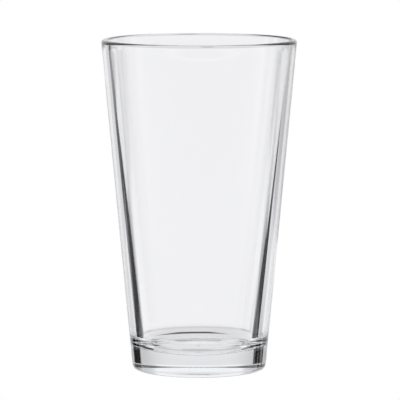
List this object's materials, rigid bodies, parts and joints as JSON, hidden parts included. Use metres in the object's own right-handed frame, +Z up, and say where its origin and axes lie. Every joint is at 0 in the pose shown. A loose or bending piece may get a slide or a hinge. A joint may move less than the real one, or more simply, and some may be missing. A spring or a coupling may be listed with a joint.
{
  "type": "mixing glass",
  "caption": "Tapered bar mixing glass with a rounded rim, a thick solid base and an open mouth, for mixing, shaking and serving drinks.",
  "frame": {"origin": "centre of the foot, on the plane that the glass stands on", "axes": "+Z up along the glass's axis, from the foot to the mouth; X and Y are any two level directions, because the glass is round"},
  "size_m": [0.088, 0.088, 0.1492],
  "materials": {
    "clear_glass": "fire-polished clear"
  },
  "bodies": {
    "root": {"glass_body": "clear_glass"}
  },
  "joints": []
}
